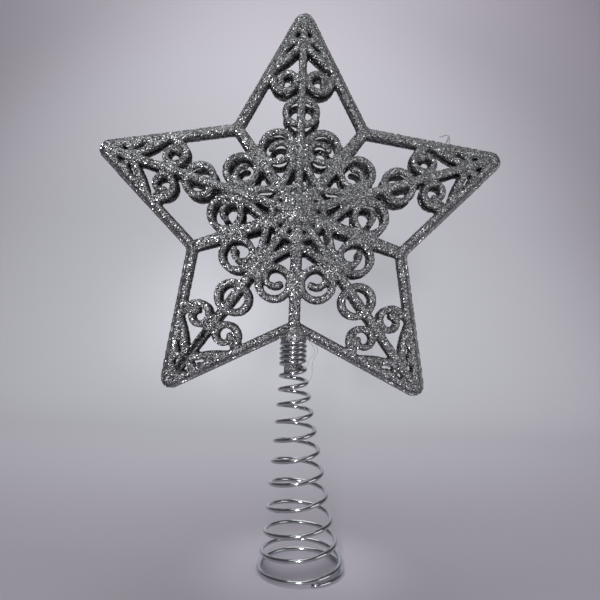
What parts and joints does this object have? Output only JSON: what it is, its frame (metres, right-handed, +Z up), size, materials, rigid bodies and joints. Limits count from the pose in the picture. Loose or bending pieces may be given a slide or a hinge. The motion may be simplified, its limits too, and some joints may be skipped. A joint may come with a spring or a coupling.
{
  "type": "tree topper star",
  "caption": "Open filigree star made of two glittered halves, standing on a conical wire spring that goes over the tip of a tree.",
  "frame": {"origin": "on the ground straight below the star's centre, at the bottom centre of the bounding box", "axes": "+Z up along the star's axis towards its top arm, the star's front faces -Y, +X to the right seen from the front"},
  "size_m": [0.189, 0.0399, 0.2582],
  "materials": {
    "silver_glitter": "silver glitter coat over moulded plastic",
    "peg_plastic": "moulded plastic with stray glitter",
    "bright_wire": "bright drawn steel wire"
  },
  "bodies": {
    "spring": {"wire_spring": "bright_wire"},
    "star": {"star_front_half": "silver_glitter", "star_back_half": "silver_glitter", "spring_peg": "peg_plastic"}
  },
  "joints": [
    {"name": "spring_press", "type": "slide", "parent": "spring", "child": "star", "axis": [0, 0, 1], "range_m": [-0.03, 0.015], "stiffness_N_per_m": 340, "springref_m": 0.0019, "deforming": ["wire_spring"]}
  ]
}
